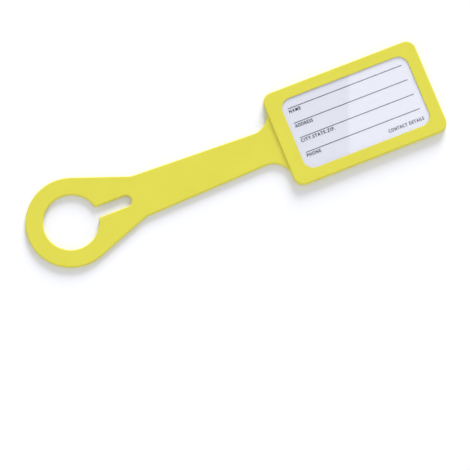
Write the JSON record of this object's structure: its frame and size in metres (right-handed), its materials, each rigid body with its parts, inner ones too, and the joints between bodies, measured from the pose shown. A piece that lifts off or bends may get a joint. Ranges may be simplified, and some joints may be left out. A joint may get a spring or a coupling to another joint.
{
  "type": "luggage tag",
  "caption": "Flexible one-piece tag with a windowed card pocket, a tapered strap and a keyhole ring that loops round a bag handle.",
  "frame": {"origin": "under the middle of the tag's length and width, on its flat back", "axes": "+X runs along the tag from the keyhole ring to the card pocket, +Y across it, and +Z out of the window side"},
  "size_m": [0.216, 0.05, 0.0032],
  "materials": {
    "silicone": "smooth matt yellow silicone, moulded in one piece",
    "paper": "smooth white paper card with grey printed lines and labels",
    "film": "thin clear glossy plastic film"
  },
  "bodies": {
    "pocket": {"pocket_back": "silicone", "window_frame": "silicone", "window_lip": "silicone", "neck": "silicone"},
    "link_1": {"strap_link_1": "silicone"},
    "link_2": {"strap_link_2": "silicone"},
    "link_3": {"strap_link_3": "silicone"},
    "link_4": {"strap_link_4": "silicone"},
    "link_5": {"strap_link_5": "silicone"},
    "link_6": {"strap_link_6": "silicone"},
    "link_7": {"strap_link_7": "silicone"},
    "ring": {"keyhole_ring": "silicone"},
    "card": {"id_card": "paper"},
    "film": {"window_film": "film"}
  },
  "joints": [
    {"name": "strap_curl", "type": "hinge", "parent": "pocket", "child": "link_1", "pos_m": [0.012, 0, 0.0011], "axis": [0, 1, 0], "range_deg": [0, 24], "stiffness_Nm_per_rad": 0.0075},
    {"name": "strap_curl_2", "type": "hinge", "parent": "link_1", "child": "link_2", "pos_m": [0.0038, 0, 0.0011], "axis": [0, 1, 0], "range_deg": [0, 24], "stiffness_Nm_per_rad": 0.0075},
    {"name": "strap_curl_3", "type": "hinge", "parent": "link_2", "child": "link_3", "pos_m": [-0.0044, 0, 0.0011], "axis": [0, 1, 0], "range_deg": [0, 24], "stiffness_Nm_per_rad": 0.0075},
    {"name": "strap_curl_4", "type": "hinge", "parent": "link_3", "child": "link_4", "pos_m": [-0.0126, 0, 0.0011], "axis": [0, 1, 0], "range_deg": [0, 24], "stiffness_Nm_per_rad": 0.0075},
    {"name": "strap_curl_5", "type": "hinge", "parent": "link_4", "child": "link_5", "pos_m": [-0.0208, 0, 0.0011], "axis": [0, 1, 0], "range_deg": [0, 24], "stiffness_Nm_per_rad": 0.0075},
    {"name": "strap_curl_6", "type": "hinge", "parent": "link_5", "child": "link_6", "pos_m": [-0.029, 0, 0.0011], "axis": [0, 1, 0], "range_deg": [0, 24], "stiffness_Nm_per_rad": 0.0075},
    {"name": "strap_curl_7", "type": "hinge", "parent": "link_6", "child": "link_7", "pos_m": [-0.0372, 0, 0.0011], "axis": [0, 1, 0], "range_deg": [0, 24], "stiffness_Nm_per_rad": 0.0075},
    {"name": "strap_curl_8", "type": "hinge", "parent": "link_7", "child": "ring", "pos_m": [-0.0454, 0, 0.0011], "axis": [0, 1, 0], "range_deg": [0, 24], "stiffness_Nm_per_rad": 0.0075},
    {"name": "card_lift", "type": "slide", "parent": "pocket", "child": "card", "axis": [0, 0, 1], "range_m": [0, 0.01], "deforming": ["window_lip"]},
    {"name": "film_lift", "type": "slide", "parent": "card", "child": "film", "axis": [0, 0, 1], "range_m": [0, 0.01]}
  ],
  "couplings": [
    {"joint": "strap_curl_2", "follows": "strap_curl", "ratio": 1},
    {"joint": "strap_curl_3", "follows": "strap_curl", "ratio": 1},
    {"joint": "strap_curl_4", "follows": "strap_curl", "ratio": 1},
    {"joint": "strap_curl_5", "follows": "strap_curl", "ratio": 1},
    {"joint": "strap_curl_6", "follows": "strap_curl", "ratio": 1},
    {"joint": "strap_curl_7", "follows": "strap_curl", "ratio": 1},
    {"joint": "strap_curl_8", "follows": "strap_curl", "ratio": 1}
  ]
}
